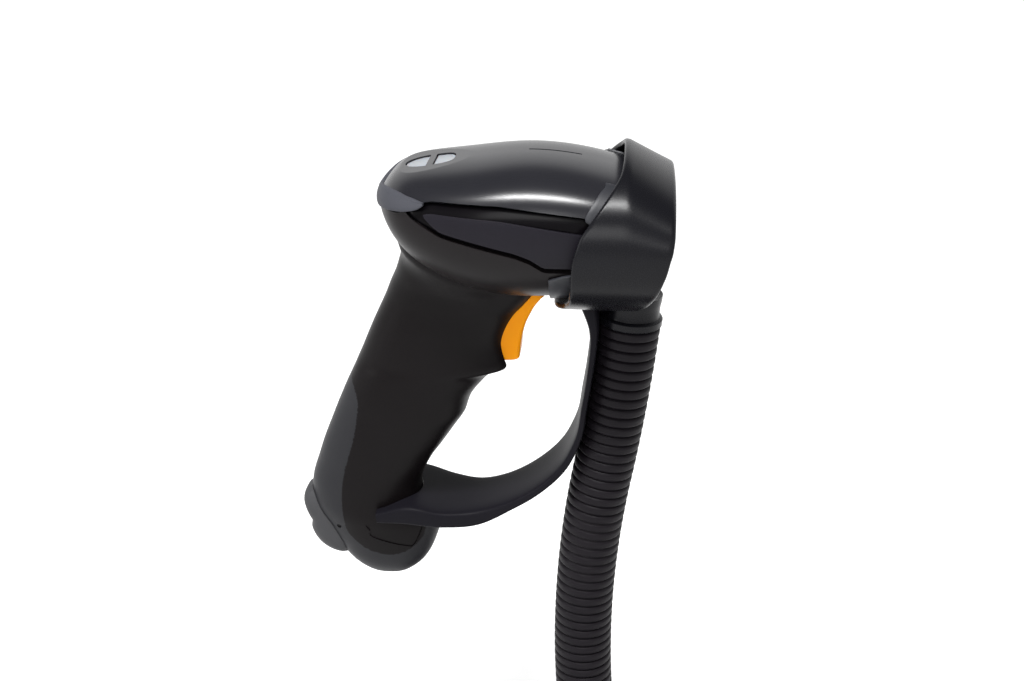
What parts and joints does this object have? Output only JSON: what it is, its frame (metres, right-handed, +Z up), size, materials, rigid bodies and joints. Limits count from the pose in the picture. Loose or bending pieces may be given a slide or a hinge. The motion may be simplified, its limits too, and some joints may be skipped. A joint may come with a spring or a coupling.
{
  "type": "barcode scanner in gooseneck stand",
  "caption": "Hand-held barcode scanner with a sprung trigger, seated in a hands-free stand with a hood, a forked arm, a corrugated gooseneck and a round weighted base.",
  "frame": {"origin": "centre of the base's underside, under the foot of the gooseneck", "axes": "+X from the back of the scanner's head to its nose, +Z up, Y across, symmetry plane at Y = 0"},
  "size_m": [0.1731, 0.13, 0.2935],
  "materials": {
    "satin_black": "satin moulded ABS",
    "grip_black": "satin moulded ABS",
    "cover_grey": "fine matt moulded ABS",
    "gloss_black": "glossy moulded polycarbonate",
    "insert_grey": "matt moulded ABS",
    "rubber_grey": "matt moulded elastomer",
    "trigger_orange": "satin coloured ABS",
    "lens_white": "translucent polycarbonate",
    "window_red": "dark red acrylic",
    "board_green": "solder mask",
    "component_black": "moulded package",
    "cell_blue": "shrink sleeve over a steel can",
    "steel": "plain steel",
    "sleeve_black": "matt flexible PVC",
    "pad_rubber": "matt rubber"
  },
  "bodies": {
    "scanner_and_stand": {"top_cover": "satin_black", "main_body": "grip_black", "battery_cover": "cover_grey", "rear_bumper": "rubber_grey", "side_trim_right": "gloss_black", "side_trim_left": "gloss_black", "side_insert_right": "insert_grey", "side_insert_left": "insert_grey", "nose_boot": "rubber_grey", "scan_window": "window_red", "indicator_lens_rear": "lens_white", "indicator_lens_front": "lens_white", "trigger_pin": "steel", "trigger_switch": "component_black", "trigger_board": "board_green", "main_board": "board_green", "board_screws": "steel", "scan_engine": "component_black", "engine_bracket": "steel", "bracket_screws": "steel", "buzzer": "component_black", "battery_cell": "cell_blue", "battery_contact": "steel", "end_pad": "cover_grey", "cover_screw": "steel", "holder": "satin_black", "collar_screw": "steel", "gooseneck_sleeve": "sleeve_black", "gooseneck_core": "steel", "base_cover": "satin_black", "base_weight": "steel", "neck_socket": "steel", "socket_screw": "steel", "base_screws": "steel", "base_pad": "pad_rubber"},
    "trigger": {"trigger": "trigger_orange", "trigger_spring": "steel"}
  },
  "joints": [
    {"name": "trigger_pull", "type": "hinge", "parent": "scanner_and_stand", "child": "trigger", "pos_m": [-0.0299, 0, 0.2465], "axis": [0, 1, 0], "range_deg": [0, 5], "stiffness_Nm_per_rad": 0.3, "springref_deg": -5.73}
  ]
}
